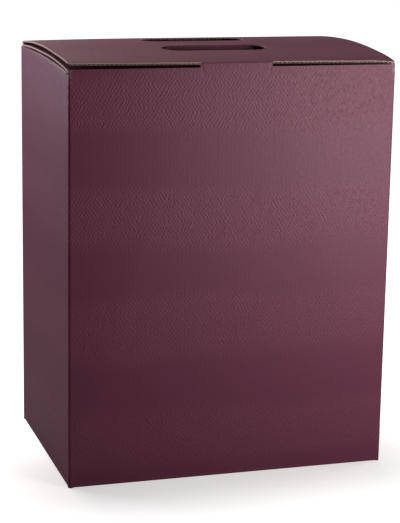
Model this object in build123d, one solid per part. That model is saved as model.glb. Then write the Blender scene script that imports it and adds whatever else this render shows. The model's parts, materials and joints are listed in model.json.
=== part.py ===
from build123d import *
import os
from math import hypot

# Sizes in millimetres. The origin is at the middle of the underside, +Z is up,
# -Y is the front that carries the outer lid, and +X is to the right.

# Corrugated board and the outside of the carton
board = 1.8
width = 255.0
depth = 175.0
wall_height = 318.0
corner_radius = 2.0
fold_radius = 1.4
layer_gap = 0.3

# Bottom made of two hooked panels below and two side panels above
seam_width = 0.8
seam_step = 12.0
seam_slope = 45.0
side_panel_gap = 56.0
side_panel_taper = 30.0

# Flap glued inside the left wall at the rear corner
glue_flap_width = 30.0
glue_flap_inset = 12.0

# Dust flaps folded in from the side walls
dust_flap_length = 78.0
dust_flap_inset = 6.5
dust_flap_taper = 14.0
corner_notch_depth = 4.5

# Inner lid, folded at the back wall and tucked in behind the front wall
inner_edge_inset = 0.5
inner_rise = 2.0
bend_radius = 4.0
tuck_length = 36.0
tuck_side_gap = 4.0
tuck_taper = 10.0

# Outer lid, carried by the uncut strip of the front crease
strip_width = 56.0
front_gap = 2.0
back_lift = 1.2
outer_rise = 5.0
crease_gap = 0.1
outer_edge_inset = 0.7

# Hand holes and the flaps punched out of them
hole_length = 84.0
hole_width = 27.0
strap_width = 32.0
inner_hole_margin = 2.0
inner_hole_corner = 5.0
swing_clearance = 1.2
flap_sink = 0.2

# Loose partition for three by two bottles
columns = 3
partition_height = 200.0
partition_end_gap = 1.0
partition_seat_gap = 0.1
slot_clearance = 0.6

# Places that follow from those sizes
front_y = -depth / 2
back_y = depth / 2
inside_width = width - 2 * board
inside_depth = depth - 2 * board
inner_lid_top = wall_height + layer_gap + board
outer_front_top = wall_height + front_gap + board
outer_back_top = outer_front_top + back_lift
hole_y = (strap_width + hole_width) / 2
strap_edge_y = strap_width / 2


def flat(points, z, thickness):
    """Flat board of the given outline, with its underside at height z."""
    return extrude(Pos(0, 0, z) * make_face(Polyline(*points, close=True)), thickness)


def arched(y_start, y_end, z_start, z_end, rise, length):
    """Board bent to one gentle arc from front to back, given by its top surface."""
    y_middle = (y_start + y_end) / 2
    z_middle = (z_start + z_end) / 2 + rise
    top = ThreePointArc((y_start, z_start), (y_middle, z_middle), (y_end, z_end))
    under = ThreePointArc(
        (y_start, z_start - board),
        (y_middle, z_middle - board),
        (y_end, z_end - board),
    )
    ends = Line(top @ 0, under @ 0) + Line(top @ 1, under @ 1)
    section = make_face(top + under + ends)
    return extrude(Plane.YZ * section, length / 2, both=True)


def outer_top(y):
    """Height of the outer lid's top surface at a distance y from the middle."""
    share = (y - front_y) / depth
    chord = outer_front_top + back_lift * share
    return chord + outer_rise * 4 * share * (1 - share)


def wall_tube():
    """Four walls with round upright folds."""
    outline = RectangleRounded(width, depth, corner_radius)
    outside = extrude(Pos(0, 0, board) * outline, wall_height - board)
    inside = extrude(Pos(0, 0, board) * Rectangle(inside_width, inside_depth), wall_height)
    return outside - inside


def bottom_seam():
    """Stepped slit where the front and back bottom panels hook together."""
    half = seam_width / 2
    end_x = inside_width / 2 - seam_width
    path = [(-end_x, seam_step), (-seam_slope / 2, seam_step)]
    path += [(seam_slope / 2, -seam_step), (end_x, -seam_step)]
    upper = [(x, y + half) for x, y in path]
    lower = [(x, y - half) for x, y in reversed(path)]
    return flat(upper + lower, 0, board)


def side_bottom_panel(side):
    """Bottom panel that lies on the lower ones, folded in from one side wall."""
    root_x = side * inside_width / 2
    tip_x = side * side_panel_gap / 2
    root_y = inside_depth / 2
    tip_y = root_y - side_panel_taper
    outline = [(root_x, -root_y), (tip_x, -tip_y), (tip_x, tip_y), (root_x, root_y)]
    return flat(outline, board, board)


def glue_flap():
    """Long flap of the back wall, glued inside the left wall."""
    back = inside_depth / 2
    low = 2 * board + glue_flap_inset
    high = wall_height - board - glue_flap_inset
    outline = [
        (back, low),
        (back - glue_flap_width, low + glue_flap_inset),
        (back - glue_flap_width, high - glue_flap_inset),
        (back, high),
    ]
    face = make_face(Polyline(*outline, close=True))
    return extrude(Plane.YZ * Pos(0, 0, -inside_width / 2) * face, board)


def dust_flap(side):
    """Flap folded in from the top of one side wall, with a round fold."""
    root_x = side * width / 2
    tip_x = side * (width / 2 - dust_flap_length)
    shoulder_x = side * (width / 2 - dust_flap_length + dust_flap_taper)
    half = depth / 2 - dust_flap_inset
    outline = [
        (root_x, -half),
        (shoulder_x, -half),
        (tip_x, -half + dust_flap_taper),
        (tip_x, half - dust_flap_taper),
        (shoulder_x, half),
        (root_x, half),
    ]
    flap = flat(outline, wall_height - board, board)
    fold = flap.edges().filter_by(Axis.Y).filter_by(lambda e: abs(e.center().X - root_x) < 0.01)
    return fillet(fold.sort_by(Axis.Z)[-1], min(fold_radius, 0.8 * board))


def side_wall_cuts():
    """Space for the dust flaps' folds, and the notch where the inner lid bends down."""
    fold = Box(width + 2, depth - 2 * dust_flap_inset, 2 * board)
    notch_start = front_y + board
    notch = Box(width + 2, dust_flap_inset - board, 2 * corner_notch_depth)
    notch_y = notch_start + (dust_flap_inset - board) / 2
    return Pos(0, 0, wall_height) * fold + Pos(0, notch_y, wall_height) * notch


def inner_holes():
    """Cutter for the inner lid's hand holes, wide enough for the outer lid's flaps to swing out."""
    length = hole_length + 2 * inner_hole_margin
    hang = hole_width - (outer_top(-strap_edge_y) - outer_front_top)
    flap_back = board - strap_edge_y - front_y
    swing_y = front_y + hypot(flap_back, hang) + swing_clearance
    front_low = -hole_y - hole_width / 2 - inner_hole_margin
    rear_low = strap_edge_y - board - inner_hole_margin
    rear_high = hole_y + hole_width / 2 + inner_hole_margin
    cutter = None
    for low, high in ((front_low, swing_y), (rear_low, rear_high)):
        corner = min(inner_hole_corner, 0.4 * (high - low))
        opening = RectangleRounded(length, high - low, corner)
        drill = extrude(Pos(0, (low + high) / 2, wall_height - 2 * board) * opening, 8 * board)
        cutter = drill if cutter is None else cutter + drill
    return cutter


def make_inner_lid():
    """Inner lid with its fold at the back wall, its bend in front and its tuck flap."""
    lid_width = width - 2 * inner_edge_inset
    tuck_y = front_y + board + layer_gap
    bend_y = tuck_y + bend_radius
    panel = arched(bend_y, back_y, inner_lid_top, inner_lid_top, inner_rise, lid_width)
    back_edges = panel.edges().filter_by(Axis.X).group_by(Axis.Y)[-1]
    panel = fillet(back_edges.sort_by(Axis.Z)[-1], min(fold_radius, 0.8 * board))
    panel -= inner_holes()

    bend_z = inner_lid_top - bend_radius
    ring = Circle(bend_radius) - Circle(bend_radius - board)
    quarter = Pos(-bend_radius / 2, bend_radius / 2) * Rectangle(bend_radius, bend_radius)
    bend = extrude(Plane.YZ * Pos(bend_y, bend_z) * (ring & quarter), lid_width / 2, both=True)

    half = inside_width / 2 - tuck_side_gap
    tip_z = wall_height - tuck_length
    outline = [
        (-half, bend_z),
        (-half, tip_z + tuck_taper),
        (-half + tuck_taper, tip_z),
        (half - tuck_taper, tip_z),
        (half, tip_z + tuck_taper),
        (half, bend_z),
    ]
    face = make_face(Polyline(*outline, close=True))
    tuck = extrude(Plane.XZ * Pos(0, 0, -tuck_y) * face, -board)

    riser = Box(width - 2 * corner_radius, board, board / 2)
    riser = Pos(0, back_y - board / 2, wall_height + board / 4) * riser
    return panel + bend + tuck + riser


def make_bottom():
    """Two hooked lower panels with round folds, and the two side panels that lie on them."""
    slab = extrude(RectangleRounded(width, depth, corner_radius), board)
    lower_edges = slab.edges().group_by(Axis.Z)[0]
    fold = min(fold_radius, 0.7 * corner_radius, 0.8 * board)
    bottom = fillet(lower_edges, fold) - bottom_seam()
    return bottom + side_bottom_panel(-1) + side_bottom_panel(1)


def make_carton():
    """The four folded walls with their dust flaps, glue flap and the crease's lower part."""
    carton = wall_tube() - side_wall_cuts()
    carton += dust_flap(-1)
    carton += dust_flap(1)
    carton += glue_flap()
    strip = Box(strip_width, board, front_gap - crease_gap)
    strip_z = wall_height + (front_gap - crease_gap) / 2
    return carton + Pos(0, front_y + board / 2, strip_z) * strip


def make_outer_lid():
    """The outer lid with its two hand holes and the flaps folded down beside the strap."""
    lid_width = width - 2 * outer_edge_inset
    lid = arched(front_y, back_y, outer_front_top, outer_back_top, outer_rise, lid_width)
    for side in (-1, 1):
        opening = RectangleRounded(hole_length, hole_width, hole_width * 0.49)
        hole = extrude(Pos(0, side * hole_y, wall_height) * opening, 10 * board)
        lid -= hole
    for side in (-1, 1):
        flap = RectangleRounded(hole_length, hole_width, hole_width * 0.49)
        top_z = outer_top(side * strap_edge_y) - flap_sink
        middle_y = side * (strap_edge_y - board / 2)
        plate = extrude(Plane.XZ * Pos(0, top_z - hole_width / 2) * flap, board / 2, both=True)
        lid += Pos(0, middle_y, 0) * plate
    return lid


def divider_blank(length, slot_places, slots_from_top):
    """Flat divider standing on the bottom, with half-height slots."""
    foot = 2 * board + partition_seat_gap
    blank = Pos(0, 0, foot + partition_height / 2) * Box(length, board, partition_height)
    slot_depth = partition_height / 2 + slot_clearance
    slot_z = foot + (partition_height - slot_depth / 2 if slots_from_top else slot_depth / 2)
    for place in slot_places:
        slot = Box(board + slot_clearance, 2 * board, slot_depth)
        blank -= Pos(place, 0, slot_z) * slot
    return blank


def cross_places():
    """Places of the cross dividers along the width."""
    pitch = inside_width / columns
    return [pitch * (n + 1) - inside_width / 2 for n in range(columns - 1)]


def make_long_divider():
    """Divider that runs from side to side between the two rows."""
    return divider_blank(inside_width - 2 * partition_end_gap, cross_places(), True)


def make_cross_divider(place):
    """Divider that runs from front to back between two columns."""
    blank = divider_blank(inside_depth - 2 * partition_end_gap, [0], False)
    return Pos(place, 0, 0) * Rot(0, 0, 90) * blank


os.makedirs("parts", exist_ok=True)
export_step(make_carton(), "parts/carton.step")
export_step(make_bottom(), "parts/bottom.step")
export_step(make_inner_lid(), "parts/inner_lid.step")
export_step(make_outer_lid(), "parts/outer_lid.step")
export_step(make_long_divider(), "parts/long_divider.step")
places = cross_places()
export_step(make_cross_divider(places[0]), "parts/cross_divider_left.step")
export_step(make_cross_divider(places[-1]), "parts/cross_divider_right.step")
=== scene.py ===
import json
import math

import bmesh
import bpy
from bpy.props import FloatProperty, FloatVectorProperty, PointerProperty
from mathutils import Matrix, Vector


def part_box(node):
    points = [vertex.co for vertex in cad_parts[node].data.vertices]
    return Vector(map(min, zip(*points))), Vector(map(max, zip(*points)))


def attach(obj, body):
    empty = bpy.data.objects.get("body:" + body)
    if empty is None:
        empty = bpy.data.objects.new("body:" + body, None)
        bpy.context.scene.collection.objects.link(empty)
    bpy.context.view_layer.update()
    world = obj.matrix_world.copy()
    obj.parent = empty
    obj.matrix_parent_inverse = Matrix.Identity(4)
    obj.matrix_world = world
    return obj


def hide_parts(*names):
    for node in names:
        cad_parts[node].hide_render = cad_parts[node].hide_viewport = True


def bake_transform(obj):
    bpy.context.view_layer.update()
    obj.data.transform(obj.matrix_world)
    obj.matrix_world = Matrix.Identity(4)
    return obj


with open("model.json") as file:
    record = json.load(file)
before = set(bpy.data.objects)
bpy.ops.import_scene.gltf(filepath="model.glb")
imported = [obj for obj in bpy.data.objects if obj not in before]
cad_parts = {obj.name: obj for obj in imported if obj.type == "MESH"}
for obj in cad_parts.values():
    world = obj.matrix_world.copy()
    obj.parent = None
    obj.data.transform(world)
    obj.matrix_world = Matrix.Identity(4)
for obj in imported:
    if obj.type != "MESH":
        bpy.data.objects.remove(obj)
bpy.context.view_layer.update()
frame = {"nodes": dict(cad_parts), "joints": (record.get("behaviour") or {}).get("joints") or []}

bl_info = {
    "name": "Bottle Box",
    "version": (1, 0, 0),
    "blender": (4, 5, 0),
    "location": "View3D > Sidebar > Bottle Box",
    "description": "Folded corrugated carton for upright bottles, with a bowed lid and hand holes",
    "category": "Object",
}

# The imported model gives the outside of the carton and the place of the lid's crease
CARTON_LOW, CARTON_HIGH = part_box("carton")
_, LID_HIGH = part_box("outer_lid")
CREASE = Vector(frame["joints"][0]["pos_m"])
WIDTH = CARTON_HIGH[0] - CARTON_LOW[0]
DEPTH = CARTON_HIGH[1] - CARTON_LOW[1]
FRONT = -DEPTH / 2
BACK = DEPTH / 2
SIDE = WIDTH / 2
LID_SIDE = LID_HIGH[0]
MM = 0.001
UV_NAME = "board"

# Photograph's frame, in pixels
IMAGE_WIDTH = 400
IMAGE_HEIGHT = 523
FOCAL_PIXELS = 1675.7

# Places of the materials that every board piece carries, in the order that make_piece adds them
COATED, LINER, ACROSS, ALONG = range(4)


def length_setting(name, millimetres, description):
    """Length that the panel shows."""
    return FloatProperty(
        name=name, description=description, default=millimetres * MM, unit="LENGTH")


class BottleBoxSizes(bpy.types.PropertyGroup):
    """Sizes of the folded board."""

    board: length_setting("Board", 1.8, "Thickness of the corrugated board")
    liner: length_setting("Liner", 0.32, "Thickness of each paper face of the board")
    medium: length_setting("Medium", 0.3, "Thickness of the fluted paper inside the board")
    flute_pitch: length_setting("Flute pitch", 3.4, "Distance from one flute to the next")
    corner_radius: length_setting("Corner radius", 2.0, "Outside radius of the upright folds")
    fold_radius: length_setting("Fold radius", 1.4, "Outside radius of the other folds")
    strip_width: length_setting(
        "Crease strip", 56.0, "Length of the uncut crease that carries the outer lid")
    front_gap: length_setting(
        "Front gap", 2.0, "Height of the gap between the front wall and the lid")
    back_lift: length_setting(
        "Back lift", 1.2, "How much higher the outer lid lies at the back")
    outer_rise: length_setting("Outer rise", 5.0, "How far the outer lid bows up")
    tuck_radius: length_setting(
        "Tuck radius", 5.0, "Radius of the inner lid's bend behind the front wall")
    front_dip: length_setting(
        "Front dip", 0.5, "How far the inner lid's bend lies below the wall's top")
    left_lift: length_setting(
        "Left lift", 0.9, "How far the outer lid's front left corner stands up")
    left_sag: length_setting(
        "Left sag", 0.8, "How far the rest of the outer lid's left side hangs down")
    right_sag: length_setting(
        "Right sag", 1.0, "How far the outer lid's front right corner hangs down")
    rear_lip: length_setting(
        "Rear lip", 1.2, "How far the outer lid's back edge is pressed down on the inner lid")
    hole_length: length_setting("Hand hole length", 84.0, "Length of each hand hole")
    hole_width: length_setting("Hand hole width", 27.0, "Width of each hand hole")
    strap_width: length_setting("Strap width", 32.0, "Width of the strap between the hand holes")
    emboss_pitch: length_setting(
        "Emboss pitch", 2.4, "Distance between the lines of the embossed crosshatch")
    roller_turn: length_setting(
        "Roller turn", 86.7, "Distance after which the embossing roller presses hard again")
    emboss_lean: FloatProperty(
        name="Emboss lean", description="Angle of the embossed lines from the board's width",
        default=math.radians(57), unit="ROTATION")


def linear(text):
    """Linear red, green, blue and alpha of an sRGB colour written in hex."""
    parts = [int(text[n:n + 2], 16) / 255 for n in (0, 2, 4)]
    toned = [p / 12.92 if p <= 0.04045 else ((p + 0.055) / 1.055) ** 2.4 for p in parts]
    return (*toned, 1.0)


def colour_setting(name, text, description):
    """Colour that the panel shows, written in hex."""
    return FloatVectorProperty(
        name=name, description=description, size=4, subtype="COLOR", default=linear(text))


class BottleBoxColours(bpy.types.PropertyGroup):
    """Colours of the papers and the studio."""

    plum: colour_setting("Plum coating", "6A2E48", "Colour of the coated outer face")
    # Partly the film's own tone on the raised lines and partly painted sheen
    raised_plum_and_sheen: colour_setting(
        "Raised plum", "763B52", "Colour on the raised lines of the embossing")
    # Painted highlight on the top ends of the upright folds
    painted_fold_highlight: colour_setting(
        "Highlighted film", "B48E98", "Colour of the film where a corner is rubbed")
    kraft: colour_setting("Kraft", "A98B6E", "Colour of the uncoated inner face")
    cut_paper: colour_setting("Cut paper", "DCBCB2", "Colour of the cut edges of the papers")
    # Painted shade: the dark of the flutes' hollows and of the lower part of the cut edges
    flute_shade: colour_setting("Flute shade", "22100F", "Colour deep in the flutes")
    floor: colour_setting("Floor", "8E8D8A", "Colour of the studio floor as the light finds it")


def sizes():
    """Sizes set in the panel."""
    return bpy.context.scene.bottle_box_sizes


def colours():
    """Colours set in the panel."""
    return bpy.context.scene.bottle_box_colours


def add(tree, kind, inputs=None, out=0, **settings):
    """Adds one node with its settings and links, and gives the output for the next node."""
    made = tree.nodes.new(kind)
    for name, value in settings.items():
        setattr(made, name, value)
    for name, value in (inputs or {}).items():
        if isinstance(value, bpy.types.NodeSocket):
            tree.links.new(value, made.inputs[name])
        else:
            made.inputs[name].default_value = value
    return made.outputs[out] if made.outputs else None


def finish(make):
    """Material with the name and the node tree of the function that makes it."""
    material = bpy.data.materials.get(make.__name__)
    if material is None:
        material = bpy.data.materials.new(make.__name__)
        material.use_nodes = True
        material.node_tree.nodes.clear()
        make(material.node_tree)
    return material


def shaded(colour, share):
    """The colour, darker."""
    return [c * share for c in colour[:3]] + [1.0]


def board_place(tree):
    """Place on the flat board in millimetres: X runs across the flutes and Y along them."""
    flat = add(tree, "ShaderNodeUVMap", uv_map=UV_NAME)
    return add(tree, "ShaderNodeVectorMath", {0: flat, "Scale": 1 / MM}, operation="SCALE")


def flute_angle(tree, place):
    """Angle that turns once from each flute to the next."""
    across = add(tree, "ShaderNodeSeparateXYZ", {0: place}, "X")
    turn = 2 * math.pi * MM / sizes().flute_pitch
    return add(tree, "ShaderNodeMath", {0: across, 1: turn}, operation="MULTIPLY")


def clouds(tree, place, look, low, high, least=0.0, most=1.0):
    """Noise of a scale and detail, stretched from a part of its range."""
    scale, detail = look
    noise = add(tree, "ShaderNodeTexNoise", {"Vector": place, "Scale": scale, "Detail": detail})
    return add(tree, "ShaderNodeMapRange", {
        "Value": noise, "From Min": low, "From Max": high, "To Min": least, "To Max": most})


def fibre_flecks(tree, place, scale, detail):
    """Fibres of a paper, and their light and dark flecks."""
    fibres = add(tree, "ShaderNodeTexNoise", {
        "Vector": place, "Scale": scale, "Detail": detail, "Roughness": 0.7})
    flecks = add(tree, "ShaderNodeMapRange", {"Value": fibres, "From Min": 0.3, "From Max": 0.7})
    return fibres, flecks


def dry_paper(tree, colour, height, relief, roughness):
    """Matte paper as the material's surface. Its relief is a strength and millimetres."""
    strength, distance = relief
    bump = add(tree, "ShaderNodeBump", {
        "Strength": strength, "Distance": distance * MM, "Height": height})
    paper = add(tree, "ShaderNodeBsdfPrincipled", {
        "Base Color": colour, "Roughness": roughness, "IOR": 1.45, "Normal": bump})
    add(tree, "ShaderNodeOutputMaterial", {0: paper})


def crosshatch(tree, place):
    """Two sets of wavering lines that lean apart, and the noise that breaks them into dashes."""
    s = sizes()
    wobble = add(tree, "ShaderNodeTexNoise", {
        "Vector": place, "Scale": 0.12, "Detail": 2.0}, "Color")
    push = add(tree, "ShaderNodeVectorMath", {0: wobble, "Scale": 5.0}, operation="SCALE")
    bent = add(tree, "ShaderNodeVectorMath", {0: place, 1: push}, operation="ADD")
    patch = clouds(tree, place, (0.07, 2.0), 0.35, 0.65)
    dash = clouds(tree, place, (0.32, 1.0), 0.4, 0.6, 0.15)
    turn = 2 * math.pi * MM / s.emboss_pitch
    sets = []
    for lean, least, most in ((-s.emboss_lean, 0.3, 1.1), (s.emboss_lean, 0.8, 0.1)):
        across = (-math.sin(lean) * turn, math.cos(lean) * turn, 0.0)
        along = add(tree, "ShaderNodeVectorMath", {
            0: bent, 1: across}, "Value", operation="DOT_PRODUCT")
        wave = add(tree, "ShaderNodeMath", {0: along}, operation="SINE")
        depth = add(tree, "ShaderNodeMapRange", {"Value": patch, "To Min": least, "To Max": most})
        broken = add(tree, "ShaderNodeMath", {0: depth, 1: dash}, operation="MULTIPLY")
        sets.append(add(tree, "ShaderNodeMath", {0: wave, 1: broken}, operation="MULTIPLY"))
    lines = add(tree, "ShaderNodeMath", {0: sets[0], 1: sets[1]}, operation="ADD")
    return lines, dash


def roller_force(tree, place):
    """How hard the roller pressed: level bands that drift a little along the board."""
    lowest_band, drift = 34.0, 30.0
    drawn = add(tree, "ShaderNodeMapping", {"Vector": place, "Scale": (0.35, 1.0, 1.0)})
    wander = add(tree, "ShaderNodeTexNoise", {"Vector": drawn, "Scale": 0.018, "Detail": 1.5})
    level = add(tree, "ShaderNodeSeparateXYZ", {0: place}, "Y")
    moved = add(tree, "ShaderNodeMath", {
        0: wander, 1: drift, 2: level}, operation="MULTIPLY_ADD")
    once = 2 * math.pi * MM / sizes().roller_turn
    start = -(lowest_band + drift / 2) * once
    turned = add(tree, "ShaderNodeMath", {0: moved, 1: once, 2: start}, operation="MULTIPLY_ADD")
    band = add(tree, "ShaderNodeMath", {0: turned}, operation="COSINE")
    return add(tree, "ShaderNodeMapRange", {
        "Value": band, "From Min": -0.5, "From Max": 0.45, "To Min": 0.38, "To Max": 1.4})


def fold_highlight_share(tree):
    """How much painted highlight the film gets round the top ends of the four upright folds."""
    solid = add(tree, "ShaderNodeTexCoord", out="Object")
    folded = add(tree, "ShaderNodeVectorMath", {0: solid}, operation="ABSOLUTE")
    corner = (SIDE, BACK, wall_height() - 3 * MM)
    beside = add(tree, "ShaderNodeVectorMath", {0: folded, 1: corner}, operation="SUBTRACT")
    narrow = add(tree, "ShaderNodeVectorMath", {0: beside, 1: (3, 3, 1)}, operation="MULTIPLY")
    away = add(tree, "ShaderNodeVectorMath", {0: narrow}, "Value", operation="LENGTH")
    return add(tree, "ShaderNodeMapRange", {
        "Value": away, "From Min": 3 * MM, "From Max": 11 * MM, "To Min": 0.9, "To Max": 0.0})


def embossed_plum_film(tree):
    """Plum film laminated on the liner and embossed with a fine crosshatch.
    The film gives a weak, broad sheen, and the hatch a diagonal grain, in level bands where the
    roller pressed harder. It is drawn at about twice its real pitch, which would be too fine to
    show. The raised lines are paler, partly in the film's own tone and partly as painted sheen.
    The top ends of the upright folds get a painted highlight, a pale colour broken into dashes."""
    c = colours()
    place = board_place(tree)
    lines, dash = crosshatch(tree, place)
    grain = add(tree, "ShaderNodeTexNoise", {
        "Vector": place, "Scale": 0.75, "Detail": 3.0, "Roughness": 0.65})
    grain_and_lines = add(tree, "ShaderNodeMath", {0: grain, 1: 2.3, 2: lines}, operation="MULTIPLY_ADD")
    relief = add(tree, "ShaderNodeMath", {
        0: grain_and_lines, 1: roller_force(tree, place)}, operation="MULTIPLY")
    # The raised lines take a paler colour, partly the film's own tone and partly painted sheen
    share = add(tree, "ShaderNodeMapRange", {"Value": relief, "From Min": -0.2, "From Max": 2.1})
    plum = add(tree, "ShaderNodeMix", {
        0: share, 6: c.plum[:], 7: c.raised_plum_and_sheen[:]}, 2, data_type="RGBA")
    # Painted highlight: a pale colour in dashes at the top ends of the upright folds
    highlit = add(tree, "ShaderNodeMath", {0: fold_highlight_share(tree), 1: dash}, operation="MULTIPLY")
    colour = add(tree, "ShaderNodeMix", {
        0: highlit, 6: plum, 7: c.painted_fold_highlight[:]}, 2, data_type="RGBA")
    board = add(tree, "ShaderNodeMath", {0: flute_angle(tree, place)}, operation="SINE")
    height = add(tree, "ShaderNodeMath", {0: board, 1: 0.12, 2: relief}, operation="MULTIPLY_ADD")
    bump = add(tree, "ShaderNodeBump", {
        "Strength": 0.9, "Distance": 0.065 * MM, "Height": height})
    rough = clouds(tree, place, (0.4, 3.0), 0.0, 1.0, 0.38, 0.58)
    film = add(tree, "ShaderNodeBsdfPrincipled", {
        "Base Color": colour, "Roughness": rough, "IOR": 1.5, "Specular IOR Level": 0.3,
        "Normal": bump})
    add(tree, "ShaderNodeOutputMaterial", {0: film})


def kraft_liner(tree):
    """Uncoated kraft liner inside the carton.
    Its long fibres give a flecked, dry brown face, and the flutes a faint washboard."""
    c = colours()
    place = board_place(tree)
    drawn = add(tree, "ShaderNodeMapping", {"Vector": place, "Scale": (0.45, 2.4, 1.0)})
    _, flecks = fibre_flecks(tree, drawn, 0.8, 5.0)
    colour = add(tree, "ShaderNodeMix", {
        0: flecks, 6: shaded(c.kraft, 0.7), 7: c.kraft[:]}, 2, data_type="RGBA")
    board = add(tree, "ShaderNodeMath", {0: flute_angle(tree, place)}, operation="SINE")
    height = add(tree, "ShaderNodeMath", {0: board, 1: 0.5, 2: flecks}, operation="MULTIPLY_ADD")
    dry_paper(tree, colour, height, (0.4, 0.08), 0.85)


def cut_across_flutes(tree):
    """Die-cut edge across the flutes: torn grey-brown paper.
    The upper liner and the crests of the flutes show pale paper. The hollows and the lower liner
    get painted shade in the dark colour of the flutes."""
    s, c = sizes(), colours()
    board = s.board / MM
    middle, face = board / 2, board / 2 - s.liner / MM
    place = board_place(tree)
    fibres, torn = fibre_flecks(tree, place, 1.6, 4.0)
    paper = add(tree, "ShaderNodeMix", {
        0: torn, 6: shaded(c.cut_paper, 0.6), 7: c.cut_paper[:]}, 2, data_type="RGBA")
    depth = add(tree, "ShaderNodeSeparateXYZ", {0: place}, "Y")
    wave = add(tree, "ShaderNodeMath", {0: flute_angle(tree, place)}, operation="COSINE")
    crest = add(tree, "ShaderNodeMath", {0: wave, 1: face, 2: middle}, operation="MULTIPLY_ADD")
    gap = add(tree, "ShaderNodeMath", {0: depth, 1: crest}, operation="SUBTRACT")
    beside = add(tree, "ShaderNodeMath", {0: gap}, operation="ABSOLUTE")
    medium = add(tree, "ShaderNodeMapRange", {
        "Value": beside, "From Min": 0.25, "From Max": 0.4, "To Min": 1.0, "To Max": 0.0})
    inward = add(tree, "ShaderNodeMath", {0: depth, 1: middle}, operation="SUBTRACT")
    outward = add(tree, "ShaderNodeMath", {0: inward}, operation="ABSOLUTE")
    faces = add(tree, "ShaderNodeMapRange", {
        "Value": outward, "From Min": face, "From Max": face + 0.1})
    shown = add(tree, "ShaderNodeMath", {0: medium, 1: faces}, operation="MAXIMUM")
    # Painted shade: the lower quarter of the edge darkens towards the lower face
    lit = add(tree, "ShaderNodeMapRange", {
        "Value": depth, "From Min": 0.75 * board, "From Max": board,
        "To Min": 1.0, "To Max": 0.0})
    light = add(tree, "ShaderNodeMath", {0: shown, 1: lit}, operation="MULTIPLY")
    # Painted shade in the hollows and on the lower liner
    colour = add(tree, "ShaderNodeMix", {
        0: light, 6: c.flute_shade[:], 7: paper}, 2, data_type="RGBA")
    dry_paper(tree, colour, fibres, (0.5, 0.1), 0.9)


def cut_along_flutes(tree):
    """Die-cut edge along the flutes: the knife presses the upper papers down over the hollow.
    It shows as a band of torn, pale grey-pink fibres over a lower edge in painted shade."""
    c, board = colours(), sizes().board / MM
    place = board_place(tree)
    fibres, torn = fibre_flecks(tree, place, 1.6, 4.0)
    paper = add(tree, "ShaderNodeMix", {
        0: torn, 6: shaded(c.cut_paper, 0.7), 7: c.cut_paper[:]}, 2, data_type="RGBA")
    depth = add(tree, "ShaderNodeSeparateXYZ", {0: place}, "Y")
    # Painted shade on the lower part of the edge
    low = add(tree, "ShaderNodeMapRange", {
        "Value": depth, "From Min": 0.6 * board, "From Max": 0.8 * board})
    colour = add(tree, "ShaderNodeMix", {
        0: low, 6: paper, 7: c.flute_shade[:]}, 2, data_type="RGBA")
    dry_paper(tree, colour, fibres, (0.5, 0.1), 0.9)


def divider_board(tree):
    """Plain brown board of the partition, with the flecks of recycled fibre on both faces."""
    c = colours()
    solid = add(tree, "ShaderNodeTexCoord", out="Object")
    place = add(tree, "ShaderNodeVectorMath", {0: solid, "Scale": 1 / MM}, operation="SCALE")
    fibres, flecks = fibre_flecks(tree, place, 0.9, 5.0)
    colour = add(tree, "ShaderNodeMix", {
        0: flecks, 6: shaded(c.kraft, 0.65), 7: shaded(c.kraft, 0.95)}, 2, data_type="RGBA")
    dry_paper(tree, colour, fibres, (0.4, 0.08), 0.85)


def background_share(tree):
    """How much of the white background a ray sees: all of it directly or through glass, and some
    in a gloss. The film reflects nearly everything at a grazing angle, and the photograph shows
    only a weak veil there."""
    direct = add(tree, "ShaderNodeLightPath", out="Is Camera Ray")
    through = add(tree, "ShaderNodeLightPath", out="Is Transmission Ray")
    gloss = add(tree, "ShaderNodeLightPath", out="Is Glossy Ray")
    clear = add(tree, "ShaderNodeMath", {0: direct, 1: through}, operation="ADD")
    return add(tree, "ShaderNodeMath", {
        0: gloss, 1: 0.1, 2: clear}, operation="MULTIPLY_ADD", use_clamp=True)


def matte_studio_paper(tree):
    """White paper of the studio floor, with a painted shadow: its glow is dimmer close to the front
    wall.
    The camera sees it glow, and the light that it returns to the carton is duller."""
    # Painted shadow: the glow dims near a strip along the foot of the front wall
    half_x, half_y = SIDE - 15 * MM, 10 * MM
    seen = add(tree, "ShaderNodeBsdfDiffuse", {"Color": linear("DAD9D6")})
    place = add(tree, "ShaderNodeTexCoord", out="Object")
    moved = add(tree, "ShaderNodeVectorMath", {
        0: place, 1: (0.0, -FRONT - half_y, 0.0)}, operation="ADD")
    folded = add(tree, "ShaderNodeVectorMath", {0: moved}, operation="ABSOLUTE")
    beyond = add(tree, "ShaderNodeVectorMath", {
        0: folded, 1: (half_x, half_y, 0.0)}, operation="SUBTRACT")
    outside = add(tree, "ShaderNodeVectorMath", {
        0: beyond, 1: (0.0, 0.0, 0.0)}, operation="MAXIMUM")
    away = add(tree, "ShaderNodeVectorMath", {0: outside}, "Value", operation="LENGTH")
    # The glow is dimmest next to the strip, a painted shadow, and rises to white farther out
    near = add(tree, "ShaderNodeMapRange", {
        "Value": away, "From Max": 0.12, "To Min": 0.49, "To Max": 0.87},
        interpolation_type="SMOOTHSTEP")
    far = add(tree, "ShaderNodeMapRange", {
        "Value": away, "From Min": 0.1, "From Max": 0.5, "To Max": 0.3})
    strength = add(tree, "ShaderNodeMath", {0: near, 1: far}, operation="ADD")
    glow = add(tree, "ShaderNodeEmission", {"Color": (1, 1, 1, 1), "Strength": strength})
    bright = add(tree, "ShaderNodeAddShader", {0: seen, 1: glow})
    plain = add(tree, "ShaderNodeBsdfDiffuse", {"Color": colours().floor[:]})
    both = add(tree, "ShaderNodeMixShader", {
        0: background_share(tree), 1: plain, 2: bright})
    add(tree, "ShaderNodeOutputMaterial", {0: both})


# A gentle bend turns less than this many radians in a metre, and gets this many cuts
GENTLE_BEND = 10
BOW_CUTS = 24


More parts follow.
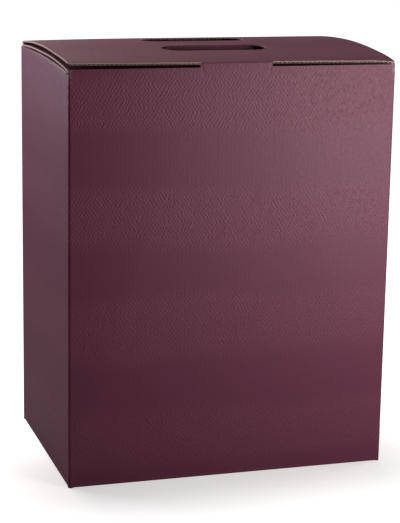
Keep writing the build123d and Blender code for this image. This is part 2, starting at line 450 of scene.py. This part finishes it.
def run_step(angle, bend, length):
    """Way covered by a run that starts at an angle and turns evenly."""
    if abs(bend) < 1e-9:
        return Vector((math.cos(angle), math.sin(angle))) * length
    end = angle + bend * length
    return Vector((math.sin(end) - math.sin(angle), math.cos(angle) - math.cos(end))) / bend


def route(start, heading, runs):
    """Route of a folded board seen end on, as stations.
    Each run is a length and the degrees that it turns."""
    place, angle, done = Vector(start), math.radians(heading), 0.0
    stations = []
    for length, turn in runs:
        bend = math.radians(turn) / length
        stations.append((done, place.copy(), angle, bend))
        place += run_step(angle, bend, length)
        angle += bend * length
        done += length
    stations.append((done, place.copy(), angle, 0.0))
    return stations


def on_route(stations, distance, depth):
    """Point of the board at a distance along its route and a depth under its outer face."""
    passed = [s for s in stations if s[0] <= distance + 1e-7]
    done, place, angle, bend = passed[-1] if passed else stations[0]
    step = distance - done
    heading = angle + bend * step
    # The inner face of a tight fold is crushed, and stays short of the fold's centre
    tight = abs(bend) > 0.9 / sizes().board
    crushed = 0.85 / abs(bend) if tight else depth
    outward = Vector((-math.sin(heading), math.cos(heading)))
    return place + run_step(angle, bend, step) - outward * min(depth, crushed)


def bow(chord, rise):
    """Angle in degrees between a bowed board's ends and its chord."""
    return math.degrees(2 * math.atan(2 * rise / chord))


def fold_cuts(stations, spacing=math.radians(15)):
    """Distances at which a flat board is cut across so that it follows its route smoothly."""
    cuts = []
    for (start, _, _, bend), (end, *_) in zip(stations, stations[1:]):
        count = max(1, math.ceil(abs(bend) * (end - start) / spacing))
        if 1e-9 < abs(bend) < GENTLE_BEND:
            count = BOW_CUTS
        cuts += [start + (end - start) * n / count for n in range(count)]
    return cuts[1:]


def add_loop(bm, points):
    """Closed outline of edges."""
    corners = [bm.verts.new((x, y, 0)) for x, y in points]
    return [bm.edges.new(pair) for pair in zip(corners, corners[1:] + corners[:1])]


def cut_at(bm, axis, places):
    """Cuts the flat board along straight lines."""
    normal = Vector((axis == 0, axis == 1, 0))
    for place in places:
        everything = bm.verts[:] + bm.edges[:] + bm.faces[:]
        bmesh.ops.bisect_plane(
            bm, geom=everything, dist=1e-7, plane_co=normal * place, plane_no=normal)


def flat_board(outline, holes=(), cuts=(), side_cuts=(), top=0.0, bottom=None):
    """Flat board with its outer face up, its holes and the cuts that let it bend.
    Flutes run along Y. Each hole is its corners and their radius. Top and bottom are depths
    under the outer face."""
    bottom = sizes().board if bottom is None else bottom
    bm = bmesh.new()
    if outline:
        add_loop(bm, outline)
    for corners, radius in holes:
        edges = add_loop(bm, corners)
        bmesh.ops.bevel(
            bm, geom=list({v for e in edges for v in e.verts}), offset=radius, offset_type="OFFSET",
            affect="VERTICES", segments=9, profile=0.5, material=-1)
    bmesh.ops.triangle_fill(bm, use_beauty=True, edges=bm.edges, normal=(0, 0, 1))
    cut_at(bm, 1, cuts)
    cut_at(bm, 0, side_cuts)
    bmesh.ops.translate(bm, verts=bm.verts, vec=(0, 0, -top))
    grown = bmesh.ops.extrude_face_region(bm, geom=bm.faces[:], use_keep_orig=True)
    lower = [v for v in grown["geom"] if isinstance(v, bmesh.types.BMVert)]
    bmesh.ops.translate(bm, verts=lower, vec=(0, 0, top - bottom))
    bmesh.ops.recalc_face_normals(bm, faces=bm.faces)
    paint_flat(bm)
    return bm


def paint_flat(bm):
    """Materials and UV map of a board that still lies flat."""
    uv = bm.loops.layers.uv.new(UV_NAME)
    for face in bm.faces:
        normal = face.normal
        if abs(normal.z) > 0.5:
            face.material_index = COATED if normal.z > 0 else LINER
        elif abs(normal.y) > abs(normal.x):
            face.material_index = ACROSS
        else:
            face.material_index = ALONG
        for loop in face.loops:
            x, y, z = loop.vert.co
            if face.material_index == ACROSS:
                loop[uv].uv = (x, -z)
            elif face.material_index == ALONG:
                loop[uv].uv = (y, -z)
            else:
                loop[uv].uv = (x, y)


def flute_band(start, end, place, reach):
    """Fluted paper between the liners at an edge cut across the flutes."""
    s = sizes()
    height = (s.board - 2 * s.liner - s.medium) / 2
    points_per_flute = 8
    count = round((end - start) / s.flute_pitch * points_per_flute)
    bm = bmesh.new()
    points = []
    for n in range(count + 1):
        x = start + (end - start) * n / count
        wave = height * math.cos(2 * math.pi * x / s.flute_pitch)
        points.append(bm.verts.new((x, place, wave - s.board / 2)))
    edges = [bm.edges.new(pair) for pair in zip(points, points[1:])]
    grown = bmesh.ops.extrude_edge_only(bm, edges=edges)
    far = [v for v in grown["geom"] if isinstance(v, bmesh.types.BMVert)]
    bmesh.ops.translate(bm, verts=far, vec=(0, reach, 0))
    bmesh.ops.solidify(bm, geom=bm.faces[:], thickness=s.medium)
    bmesh.ops.recalc_face_normals(bm, faces=bm.faces)
    uv = bm.loops.layers.uv.new(UV_NAME)
    for face in bm.faces:
        face.material_index = ALONG
        for loop in face.loops:
            loop[uv].uv = (loop.vert.co.x, abs(loop.vert.co.y - place))
    return bm


def bend(bm, stations, plane="YZ"):
    """Folds a flat board along its route.
    In plane YZ and XZ its length follows the route, and in plane XY its width does."""
    for v in bm.verts:
        x, y, z = v.co
        if plane == "XY":
            a, b = on_route(stations, x, -z)
            v.co = (a, b, y)
            continue
        a, b = on_route(stations, y, -z)
        v.co = (x, a, b) if plane == "YZ" else (a, x, b)
    bmesh.ops.recalc_face_normals(bm, faces=bm.faces)
    return bm


def joined(parts):
    """One bmesh from several."""
    whole = bmesh.new()
    for bm in parts:
        part = bpy.data.meshes.new("part")
        bm.to_mesh(part)
        bm.free()
        whole.from_mesh(part)
        bpy.data.meshes.remove(part)
    return whole


def mesh_object(name, bm):
    """Object in the scene that takes over a bmesh."""
    mesh = bpy.data.meshes.new(name)
    bm.to_mesh(mesh)
    bm.free()
    made = bpy.data.objects.new(name, mesh)
    bpy.context.scene.collection.objects.link(made)
    return made


def make_piece(name, bm):
    """Mesh object with round faces smooth and cut edges sharp."""
    sharp = math.radians(32)
    for edge in bm.edges:
        edge.smooth = edge.calc_face_angle(0.0) < sharp
    for face in bm.faces:
        face.smooth = True
    piece = mesh_object(name, bm)
    for make in (embossed_plum_film, kraft_liner, cut_across_flutes, cut_along_flutes):
        piece.data.materials.append(finish(make))
    return piece


def mirrored(bm, axis):
    """The same board on the other side, turned the right way out again."""
    scale = Vector((1, 1, 1))
    scale[axis] = -1
    bmesh.ops.scale(bm, vec=scale, verts=bm.verts)
    bmesh.ops.recalc_face_normals(bm, faces=bm.faces)
    return bm


def both_sides(points):
    """Symmetric outline from its right half, which runs from the start of the route to its end."""
    return points + [(-x, y) for x, y in reversed(points)]


def rectangle(left, right, low, high):
    """Corners of a rectangle."""
    return [(left, low), (right, low), (right, high), (left, high)]


def wall_height():
    """Height of the fold at the top of the walls."""
    return CREASE.z - sizes().front_gap - sizes().board


# How far a wall is cut back at a fold, where another piece takes over
CORNER_CLEAR = 3.2 * MM
FOLD_LAP = 3.0 * MM
DUST_LAP = 8.0 * MM
CREASE_DROP = 14.0 * MM
CREASE_REACH = 8.0 * MM
SEAM_GAP = 0.2 * MM

# Glue flap inside the left wall
GLUE_WIDTH = 30.0 * MM
GLUE_GAP = 0.05 * MM
GLUE_TAPER = 40.0 * MM
GLUE_LOW = 12.0 * MM
GLUE_HIGH = 14.0 * MM

# Dust flaps, and the notch at the front of each where the inner lid bends down
DUST_INSET = 6.5 * MM
DUST_LENGTH = 78.0 * MM
DUST_TAPER = 14.0 * MM
NOTCH_DEPTH = 4.0 * MM

# Inner lid with its tuck flap and hand holes
INNER_INSET = 0.5 * MM
TUCK_LENGTH = 32.0 * MM
TUCK_GAP = 0.3 * MM
TUCK_SIDE_GAP = 4.0 * MM
TUCK_TAPER = 10.0 * MM
INNER_HOLE_MARGIN = 2.0 * MM
INNER_HOLE_CORNER = 5.0 * MM
SWING_CLEARANCE = 1.2 * MM

# Outer lid: roundness of the hand holes, and the flutes that show at its edges
HOLE_ROUND = 0.49
FLUTE_REACH = 4.0 * MM
FLUTE_END_GAP = 0.3 * MM
FLUTE_SETBACK = 0.15 * MM


def wall_route():
    """Route of the walls' board, from the glue flap round to the left wall's free end."""
    s = sizes()
    quarter = math.pi / 2 * s.corner_radius
    glue_x = -SIDE + s.board + GLUE_GAP
    glue_run = GLUE_WIDTH - s.fold_radius
    side_run = DEPTH - 2 * s.corner_radius
    return route((glue_x, BACK - s.fold_radius - glue_run), 90, [
        (glue_run, 0),
        (math.pi / 2 * s.fold_radius, -90),
        (SIDE - s.corner_radius - glue_x - s.fold_radius, 0),
        (quarter, -90),
        (side_run, 0),
        (quarter, -90),
        (WIDTH - 2 * s.corner_radius, 0),
        (quarter, -90),
        (side_run + s.corner_radius - SEAM_GAP, 0),
    ])


class BOTTLEBOX_OT_walls(bpy.types.Operator):
    """Four walls wrapped from one board, with the glue flap inside the left wall"""

    bl_idname = "bottle_box.walls"
    bl_label = "Walls"

    def execute(self, context):
        s = sizes()
        height = wall_height()
        stations = wall_route()
        starts = [station[0] for station in stations]
        glue_run, fold, end = starts[1], starts[2], starts[9]
        right = (starts[4] + starts[5]) / 2
        middles = (
            fold - (stations[0][1].x + s.fold_radius),
            right,
            (starts[6] + starts[7]) / 2,
            starts[8] + right - starts[4],
        )
        back_half, side_half = SIDE - CORNER_CLEAR, DEPTH / 2 - CORNER_CLEAR
        flap, notch = DEPTH / 2 - DUST_INSET, DEPTH / 2 - s.board
        dust_cut = [
            (-flap, 0.0), (-flap, -DUST_LAP), (flap, -DUST_LAP),
            (flap, -NOTCH_DEPTH), (notch, -NOTCH_DEPTH), (notch, 0.0),
        ]
        low_cuts = [self.cut(half, FOLD_LAP) for half in (back_half, side_half) * 2]
        high_cuts = [
            self.cut(back_half, -FOLD_LAP),
            dust_cut,
            self.cut(s.strip_width / 2, -CREASE_DROP),
            [(-x, y) for x, y in reversed(dust_cut)],
        ]
        low = [(m + x, y) for m, cut in zip(middles, low_cuts) for x, y in cut]
        high = [(m + x, height + y) for m, cut in zip(middles, high_cuts) for x, y in cut]
        outline = [
            (0.0, GLUE_TAPER), (glue_run, FOLD_LAP + GLUE_LOW), (fold, 0.0), *low, (end, 0.0),
            (end, height), *reversed(high), (fold, height), (glue_run, height - GLUE_HIGH),
            (0.0, height - GLUE_TAPER),
        ]
        bm = flat_board(outline, side_cuts=fold_cuts(stations))
        walls = make_piece("carton_walls", bend(bm, stations, "XY"))
        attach(walls, "carton")
        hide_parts("carton")
        return {"FINISHED"}

    def cut(self, half, depth):
        """Square cut into the edge of a wall, measured from the middle of that edge."""
        return [(-half, 0.0), (-half, depth), (half, depth), (half, 0.0)]


class BOTTLEBOX_OT_bottom(bpy.types.Operator):
    """Bottom of two hooked panels below and two side panels on them"""

    bl_idname = "bottle_box.bottom"
    bl_label = "Bottom"

    def execute(self, context):
        panels = (self.hooked_panel, self.side_return, self.side_panel)
        parts = [panel(side) for panel in panels for side in (1, -1)]
        bottom = make_piece("carton_bottom", joined(parts))
        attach(bottom, "carton")
        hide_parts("bottom")
        return {"FINISHED"}

    def folded_in(self, start, straight, edge, shoulder, wide, plane):
        """Panel folded in from a wall. Its free edge is given, and it widens towards the fold."""
        radius = sizes().fold_radius
        stations = route((start, 0.0), 180, [
            (straight, 0),
            (math.pi / 2 * radius, -90),
            (FOLD_LAP - radius, 0),
        ])
        narrow, end = edge[-1][0], stations[-1][0]
        outline = edge + [
            (narrow, shoulder), (wide, shoulder), (wide, end),
            (-wide, end), (-wide, shoulder), (-narrow, shoulder),
        ]
        return bend(flat_board(outline, cuts=fold_cuts(stations)), stations, plane)

    def hooked_panel(self, side):
        """Lower panel folded in from the front or back wall, with its stepped free edge."""
        reach, step, slope, gap, drop = 13 * MM, 12 * MM, 22.5 * MM, 0.4 * MM, 2 * MM
        narrow = SIDE - 2 * CORNER_CLEAR
        low, high = reach - step + gap, reach + step + gap
        edge = [(-narrow, low), (-slope, low), (slope, high), (narrow, high)]
        straight = reach - FRONT - sizes().fold_radius
        wide = SIDE - CORNER_CLEAR
        bm = self.folded_in(reach, straight, edge, straight - drop, wide, "YZ")
        if side < 0:
            bmesh.ops.rotate(bm, verts=bm.verts, matrix=Matrix.Rotation(math.pi, 3, "Z"))
        return bm

    def side_return(self, side):
        """Rounded lower edge of a side wall."""
        inward, drop, wide = 6 * MM, 2 * MM, DEPTH / 2 - CORNER_CLEAR
        narrow = wide - 3 * MM
        edge = [(-narrow, 0.0), (narrow, 0.0)]
        straight = inward - sizes().fold_radius
        bm = self.folded_in(inward - SIDE, straight, edge, inward - drop, wide, "XZ")
        return mirrored(bm, 0) if side < 0 else bm

    def side_panel(self, side):
        """Upper panel that lies on the hooked ones."""
        s = sizes()
        gap, taper, tip_x = 0.1 * MM, 30 * MM, 28 * MM
        root_x, root_y = SIDE - s.board - gap, DEPTH / 2 - s.board - gap
        tip_y = root_y - taper
        bm = flat_board([(root_x, -root_y), (tip_x, -tip_y), (tip_x, tip_y), (root_x, root_y)])
        bmesh.ops.rotate(bm, verts=bm.verts, matrix=Matrix.Rotation(math.pi, 3, "X"))
        bmesh.ops.translate(bm, verts=bm.verts, vec=(0, 0, s.board))
        return mirrored(bm, 0) if side < 0 else bm


class BOTTLEBOX_OT_dust_flaps(bpy.types.Operator):
    """Two flaps folded in from the tops of the side walls"""

    bl_idname = "bottle_box.dust_flaps"
    bl_label = "Dust flaps"

    def execute(self, context):
        flaps = make_piece("dust_flaps", joined([self.flap(), mirrored(self.flap(), 0)]))
        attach(flaps, "carton")
        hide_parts("carton")
        return {"FINISHED"}

    def flap(self):
        """Left flap. It is mirrored before it is bent, which keeps the film the right way round."""
        s = sizes()
        stations = route((-SIDE, wall_height() - DUST_LAP), 90, [
            (DUST_LAP - s.fold_radius, 0),
            (math.pi / 2 * s.fold_radius, -90),
            (DUST_LENGTH - s.fold_radius, 0),
        ])
        half, strips = DEPTH / 2 - DUST_INSET, 12
        end = stations[-1][0]
        outline = both_sides([(half, 0.0), (half, end - DUST_TAPER), (half - DUST_TAPER, end)])
        side_cuts = [half * n / strips for n in range(1 - strips, strips)]
        bm = mirrored(flat_board(outline, (), fold_cuts(stations), side_cuts), 0)
        bend(bm, stations, "XZ")
        for v in bm.verts:
            rise = min(1.0, (v.co.z - stations[0][1].y) / DUST_LAP)
            v.co.z += rise * self.crown(v.co.y)
        return bm

    def crown(self, y):
        """How far the pressed fold of a side wall stands above its even height."""
        peak, reach, height, fall = 22 * MM, 103 * MM, 0.9 * MM, 3.4 * MM
        return height - fall * ((y - peak) / reach) ** 2


class BOTTLEBOX_OT_inner_lid(bpy.types.Operator):
    """Inner lid, folded at the back wall and tucked in behind the front wall"""

    bl_idname = "bottle_box.inner_lid"
    bl_label = "Inner lid"

    def execute(self, context):
        s = sizes()
        tuck_y = FRONT + s.board + TUCK_GAP
        tuck_turn, fold_turn = 83.5, 94
        # The length of the run at this place follows from the depth of the carton
        filler = 4
        runs = [
            [TUCK_LENGTH, 0],
            [math.radians(tuck_turn) * s.tuck_radius, -tuck_turn],
            [75 * MM, -6.5],
            [45 * MM, -0.5],
            [1.0, -4.5],
            [8 * MM, 9],
            [math.radians(fold_turn) * s.fold_radius, -fold_turn],
        ]
        angle, reach, rise = math.radians(90), [], []
        for length, turn in runs:
            step = run_step(angle, math.radians(turn) / length, length)
            reach.append(step.x)
            rise.append(step.y)
            angle += math.radians(turn)
        rest = BACK - tuck_y - sum(reach) + reach[filler]
        runs[filler][0] = rest / reach[filler]
        rise[filler] *= runs[filler][0]
        start_z = wall_height() - s.front_dip - sum(rise[:2])
        runs.append([start_z + sum(rise) - wall_height() + FOLD_LAP, 0])
        stations = route((tuck_y, start_z), 90, runs)
        starts = [station[0] for station in stations]
        narrow = SIDE - s.board - TUCK_SIDE_GAP
        full = SIDE - INNER_INSET
        fold_half = SIDE - CORNER_CLEAR
        outline = both_sides([
            (narrow - TUCK_TAPER, 0.0),
            (narrow, TUCK_TAPER),
            (narrow, starts[1]),
            (full, starts[1]),
            (full, starts[6]),
            (fold_half, starts[6]),
            (fold_half, starts[8]),
        ])
        shift = starts[2] - stations[2][1].x
        half = s.hole_length / 2 + INNER_HOLE_MARGIN
        holes = [
            (rectangle(-half, half, low + shift, high + shift), INNER_HOLE_CORNER)
            for low, high in inner_hole_spans()]
        bm = flat_board(outline, holes, cuts=fold_cuts(stations))
        lid = make_piece("inner_lid_board", bend(bm, stations))
        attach(lid, "carton")
        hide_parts("inner_lid")
        return {"FINISHED"}


def inner_hole_spans():
    """Hand holes of the inner lid, which leave the outer lid's flaps room to swing out."""
    s = sizes()
    strap_edge = s.strap_width / 2
    far_edge = strap_edge + s.hole_width + INNER_HOLE_MARGIN
    flap_back = s.board - strap_edge - FRONT
    hang = s.hole_width - (outer_top(-strap_edge) - CREASE.z)
    swing = FRONT + math.hypot(flap_back, hang) + SWING_CLEARANCE
    return ((-far_edge, swing), (strap_edge - s.board - INNER_HOLE_MARGIN, far_edge))


def outer_top(y):
    """Height of the outer lid's top surface at a distance y from the middle."""
    s = sizes()
    share = (y - FRONT) / DEPTH
    return CREASE.z + s.back_lift * share + s.outer_rise * 4 * share * (1 - share)


def outer_route():
    """Route of the outer lid from its front edge to its back edge."""
    s = sizes()
    chord = math.hypot(DEPTH, s.back_lift)
    slope = bow(chord, s.outer_rise)
    tilt = math.degrees(math.atan2(s.back_lift, DEPTH))
    length = chord * math.radians(slope) / math.sin(math.radians(slope))
    return route((FRONT, CREASE.z), slope + tilt, [(length, -2 * slope)])


def fading(distance, reach):
    """Share that falls from 1 to 0 over a reach."""
    return max(0.0, 1 - distance / reach)


def lid_shift(x, y):
    """How far the lid's free sides stand away from the even bow."""
    s = sizes()
    lip_reach, left_reach, right_reach, tip_reach = 12 * MM, 50 * MM, 90 * MM, 14 * MM
    tip_sag, side_reach, inner_press = 0.9 * MM, 4 * MM, 1.15 * MM
    half = s.strip_width / 2
    outside = max(0.0, abs(x) - half) / (LID_SIDE - half)
    lip = fading(BACK - y, lip_reach) ** 2
    if x < 0:
        front = fading(y - FRONT, left_reach)
        free = outside * (front * s.left_lift - (1 - front) * s.left_sag * outside)
    else:
        front = fading(y - FRONT, right_reach)
        tip = fading(LID_SIDE - x, tip_reach) * fading(y - FRONT, tip_reach)
        free = -outside ** 1.5 * front * s.right_sag - tip ** 1.5 * tip_sag
    press = s.rear_lip + min(1.0, (LID_SIDE - abs(x)) / side_reach) * inner_press
    return (1 - lip) * free - lip * press


class BOTTLEBOX_OT_outer_lid(bpy.types.Operator):
    """Bowed outer lid with its liners, flutes, hand holes and folded-down flaps"""

    bl_idname = "bottle_box.outer_lid"
    bl_label = "Outer lid"

    def execute(self, context):
        s = sizes()
        stations = outer_route()
        length = stations[-1][0]
        scale = length / DEPTH
        half = s.strip_width / 2
        rear_cuts = [length - n * MM for n in (2, 3.5, 5, 6.5, 8)]
        depths = (0, s.liner, s.board - s.liner, s.board)
        layers = []
        for top, bottom, inset in zip(depths, depths[1:], (0, FLUTE_REACH, 0)):
            outline = [
                (-LID_SIDE, inset), (-half, inset), (-half, CREASE_REACH), (half, CREASE_REACH),
                (half, inset), (LID_SIDE, inset), (LID_SIDE, length - inset),
                (-LID_SIDE, length - inset),
            ]
            holes = [self.hole(side, inset, scale) for side in (-1, 1)]
            cuts = fold_cuts(stations) + rear_cuts
            layer = flat_board(outline, holes, cuts, self.side_cuts(), top, bottom)
            self.shade_holes(layer)
            layers.append(layer)
        layers += [flute_band(*span) for span in self.flute_spans(length, scale)]
        bm = bend(joined(layers), stations)
        for v in bm.verts:
            v.co.z += lid_shift(v.co.x, v.co.y)
        lid = make_piece("outer_lid_board", bm)
        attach(lid, "outer_lid")
        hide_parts("outer_lid")
        for side, name in ((-1, "front_hand_flap"), (1, "rear_hand_flap")):
            flap = make_piece(name, self.flap(side))
            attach(flap, "outer_lid")
            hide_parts("outer_lid")
        return {"FINISHED"}

    def flute_spans(self, length, scale):
        """Start, end, place and reach of the flutes at each edge that shows them."""
        s = sizes()
        inner, outer = s.strip_width / 2 + FLUTE_END_GAP, LID_SIDE - FLUTE_END_GAP
        spans = [
            (-outer, -inner, FLUTE_SETBACK, FLUTE_REACH),
            (inner, outer, FLUTE_SETBACK, FLUTE_REACH),
            (-outer, outer, length - FLUTE_SETBACK, -FLUTE_REACH),
        ]
        straight = s.hole_length / 2 - s.hole_width * HOLE_ROUND
        far = s.strap_width / 2 + s.hole_width
        for side in (-1, 1):
            place = (side * far - FRONT) * scale + side * FLUTE_SETBACK
            spans.append((-straight, straight, place, side * FLUTE_REACH))
        return spans

    def shade_holes(self, bm):
        """Painted shade on the hand holes' rims, so that only their upper half shows pale paper."""
        beside, near, far = 43 * MM, 20 * MM, 160 * MM
        uv = bm.loops.layers.uv[UV_NAME]
        for face in bm.faces:
            middle = face.calc_center_median()
            at_hole = abs(middle.x) < beside and near < middle.y < far
            if face.material_index in (ACROSS, ALONG) and at_hole:
                for loop in face.loops:
                    loop[uv].uv.y *= 2

    def hole(self, side, inset, scale):
        """Hand hole on the flat lid: wider at the strap, where its flap folds down, and in the
        core's layer deeper at the far edge, where the flutes show."""
        s = sizes()
        near = side * (s.strap_width / 2 - s.fold_radius)
        far = side * (s.strap_width / 2 + s.hole_width + inset)
        low, high = sorted(((near - FRONT) * scale, (far - FRONT) * scale))
        half = s.hole_length / 2
        return rectangle(-half, half, low, high), s.hole_width * HOLE_ROUND

    def side_cuts(self):
        """Cuts that let the free sides curve smoothly, and closer ones near their edges."""
        half, strips = sizes().strip_width / 2, 10
        steps = [half + (LID_SIDE - half) * n / strips for n in range(1, strips)]
        steps += [LID_SIDE - n * MM for n in (1.3, 2.7, 4, 7)]
        return [-x for x in steps] + steps

    def flap(self, side):
        """Punched flap, folded down at the edge of the strap."""
        s = sizes()
        arc = math.pi / 2 * s.fold_radius
        straight = s.hole_width - arc
        edge = s.strap_width / 2
        top = outer_top(side * (edge - s.fold_radius))
        stations = route((-edge, top - s.fold_radius - straight), 90, [(straight, 0), (arc, -90)])
        half = s.hole_length / 2
        blank = [(rectangle(-half, half, 0, s.hole_width), s.hole_width * HOLE_ROUND)]
        bm = bend(flat_board((), blank, fold_cuts(stations)), stations)
        return mirrored(bm, 1) if side > 0 else bm


class BOTTLEBOX_OT_crease(bpy.types.Operator):
    """Uncut strip of the front crease, which carries the outer lid and folds with it"""

    bl_idname = "bottle_box.crease"
    bl_label = "Crease strip"

    def execute(self, context):
        s = sizes()
        lid = outer_route()
        heading = math.degrees(lid[0][2])
        radius = s.fold_radius
        tangent = radius * math.tan(math.radians(90 - heading) / 2)
        lid_turn = math.degrees(lid[0][3])
        turn = 90 - heading - lid_turn * tangent
        rise = CREASE_DROP + s.front_gap + s.board - tangent
        arc = math.radians(turn) * radius
        rest = CREASE_REACH - tangent
        stations = route((FRONT, wall_height() - CREASE_DROP), 90, [
            (rise, 0),
            (arc, -turn),
            (rest, lid_turn * rest),
        ])
        half = s.strip_width / 2
        end = stations[-1][0]
        fine = range(1, 14)
        cuts = [n * MM for n in fine] + fold_cuts(stations)
        edge_cuts = [half - 0.55 * MM * n for n in fine]
        bm = flat_board(
            rectangle(-half, half, 0.0, end), cuts=cuts,
            side_cuts=edge_cuts + [-x for x in edge_cuts])
        self.continue_film(bm)
        for v in bm.verts:
            v.co.z += self.stress_line(v.co.x, v.co.y, rise)
        strip = make_piece("lid_crease", bend(bm, stations))
        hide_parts("outer_lid")
        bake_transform(strip)
        return {"FINISHED"}

    def continue_film(self, bm):
        """The film runs on from the front wall, whose map grows from right to left."""
        walls = wall_route()
        middle = (walls[6][0] + walls[7][0]) / 2
        level = wall_height() - CREASE_DROP
        uv = bm.loops.layers.uv[UV_NAME]
        for face in bm.faces:
            if face.material_index == COATED:
                for loop in face.loops:
                    loop[uv].uv = (middle - loop.vert.co.x, level + loop.vert.co.y)

    def stress_line(self, x, distance, rise):
        """Small pressed line that runs down from each end of the uncut crease."""
        length, inset, lean, width, depth = 11 * MM, 0.4 * MM, 0.28, 0.7 * MM, 0.3 * MM
        below = rise - distance
        if below < 0 or below > length:
            return 0.0
        line = sizes().strip_width / 2 - inset - below * lean
        away = (abs(x) - line) / width
        return -depth * math.exp(-away * away) * (1 - below / length)


class BOTTLEBOX_OT_dividers(bpy.types.Operator):
    """Finish of the partition that keeps the bottles apart"""

    bl_idname = "bottle_box.dividers"
    bl_label = "Dividers"

    def execute(self, context):
        for name in ("long_divider", "cross_divider_left", "cross_divider_right"):
            node = frame["nodes"][name]
            node = node if isinstance(node, bpy.types.Object) else bpy.data.objects[name]
            node.data.materials.clear()
            node.data.materials.append(finish(divider_board))
        return {"FINISHED"}


# Each softbox: name, place, target, size, spread in degrees, watts and colour
SOFTBOXES = (
    ("right_softbox", (0.30, -0.45, 0.26), (0.13, -0.09, 0.29), 0.3, 130, 1.16, (1.0, 0.99, 0.96)),
    ("left_softbox", (-0.52, 0.36, 0.42), (-0.13, -0.03, 0.30), 0.35, 90, 0.68, (0.96, 0.87, 1.0)),
    ("rear_softbox", (-0.25, 0.7, 0.75), (-0.05, 0.0, 0.3), 0.4, 110, 0.93, (1.0, 0.95, 0.84)),
    ("far_softbox", (0.75, 0.2, 0.3), (0.13, 0.05, 0.15), 0.4, 90, 0.6, (1.0, 1.0, 1.0)),
    ("overhead_softbox", (0.0, 0.4, 1.45), (0.0, -0.05, 0.1), 0.8, 140, 3.2, (1.0, 0.97, 0.92)),
)


class BOTTLEBOX_OT_stage(bpy.types.Operator):
    """Pale floor, soft studio lights and the photograph's camera"""

    bl_idname = "bottle_box.stage"
    bl_label = "Studio"

    def execute(self, context):
        scene = context.scene
        scene.view_settings.view_transform = "Standard"
        self.camera(scene)
        self.floor()
        self.world(scene)
        for softbox in SOFTBOXES:
            self.softbox(*softbox)
        return {"FINISHED"}

    def camera(self, scene):
        """Camera found from the carton's corners in the photograph, with no shift."""
        turn, height, roll = math.radians(-17.229), math.radians(12.975), math.radians(0.977)
        distance = 1.3579
        target = Vector((1.0 * MM, 0, 150.7 * MM))
        level = math.cos(height)
        back = Vector((math.sin(turn) * level, -math.cos(turn) * level, math.sin(height)))
        right = Vector((math.cos(turn), math.sin(turn), 0))
        up = back.cross(right)
        tilted_right = math.cos(roll) * right + math.sin(roll) * up
        tilted_up = math.cos(roll) * up - math.sin(roll) * right
        data = bpy.data.cameras.new("photo_camera")
        data.sensor_width = 36
        data.lens = data.sensor_width * FOCAL_PIXELS / max(IMAGE_WIDTH, IMAGE_HEIGHT)
        data.clip_start, data.clip_end = 0.05, 60
        camera = bpy.data.objects.new("photo_camera", data)
        facing = Matrix((tilted_right, tilted_up, back)).transposed().to_4x4()
        camera.matrix_world = Matrix.Translation(target + back * distance) @ facing
        scene.collection.objects.link(camera)
        scene.camera = camera

    def floor(self):
        """Large floor that looks white to the camera. It keeps the carton's shadow, and has a
        painted shadow along the front wall.
        """
        bm = bmesh.new()
        bmesh.ops.create_grid(bm, x_segments=2, y_segments=2, size=30)
        floor = mesh_object("studio_floor", bm)
        floor.data.materials.append(finish(matte_studio_paper))

    def world(self, scene):
        """Even studio air, and white behind everything that the camera sees."""
        world = bpy.data.worlds.new("studio_air")
        scene.world = world
        world.use_nodes = True
        tree = world.node_tree
        tree.nodes.clear()
        strength = add(tree, "ShaderNodeMapRange", {
            "Value": background_share(tree), "To Min": 0.04, "To Max": 1.0})
        air = add(tree, "ShaderNodeBackground", {"Color": (1, 1, 1, 1), "Strength": strength})
        add(tree, "ShaderNodeOutputWorld", {0: air})

    def softbox(self, name, place, target, size, spread, watts, colour):
        """Square softbox with a grid that keeps its light to a cone, facing a target."""
        data = bpy.data.lights.new(name, "AREA")
        data.size = size
        data.spread = math.radians(spread)
        data.energy = watts
        data.color = colour
        lamp = bpy.data.objects.new(name, data)
        lamp.location = place
        lamp.rotation_euler = (Vector(place) - Vector(target)).to_track_quat("Z", "Y").to_euler()
        bpy.context.scene.collection.objects.link(lamp)


class BOTTLEBOX_PT_panel(bpy.types.Panel):
    """Sizes, colours and pieces of the bottle box"""

    bl_idname = "BOTTLEBOX_PT_panel"
    bl_label = "Bottle Box"
    bl_space_type = "VIEW_3D"
    bl_region_type = "UI"
    bl_category = "Bottle Box"

    def draw(self, context):
        for group in (context.scene.bottle_box_sizes, context.scene.bottle_box_colours):
            box = self.layout.box()
            for name in group.bl_rna.properties.keys():
                if name not in ("rna_type", "name"):
                    box.prop(group, name)
        for operator in OPERATORS:
            self.layout.operator(operator.bl_idname)


OPERATORS = (
    BOTTLEBOX_OT_stage,
    BOTTLEBOX_OT_walls,
    BOTTLEBOX_OT_bottom,
    BOTTLEBOX_OT_dust_flaps,
    BOTTLEBOX_OT_inner_lid,
    BOTTLEBOX_OT_outer_lid,
    BOTTLEBOX_OT_crease,
    BOTTLEBOX_OT_dividers,
)
CLASSES = (BottleBoxSizes, BottleBoxColours, *OPERATORS, BOTTLEBOX_PT_panel)


def register():
    """Registers the classes and the settings."""
    for cls in CLASSES:
        bpy.utils.register_class(cls)
    bpy.types.Scene.bottle_box_sizes = PointerProperty(type=BottleBoxSizes)
    bpy.types.Scene.bottle_box_colours = PointerProperty(type=BottleBoxColours)


def unregister():
    """Removes the settings and the classes."""
    del bpy.types.Scene.bottle_box_colours
    del bpy.types.Scene.bottle_box_sizes
    for cls in reversed(CLASSES):
        bpy.utils.unregister_class(cls)


def main():
    """Builds the bottle box."""
    register()
    bpy.ops.bottle_box.stage()
    bpy.ops.bottle_box.walls()
    bpy.ops.bottle_box.bottom()
    bpy.ops.bottle_box.dust_flaps()
    bpy.ops.bottle_box.inner_lid()
    bpy.ops.bottle_box.outer_lid()
    bpy.ops.bottle_box.crease()
    bpy.ops.bottle_box.dividers()


if __name__ == "__main__":
    main()
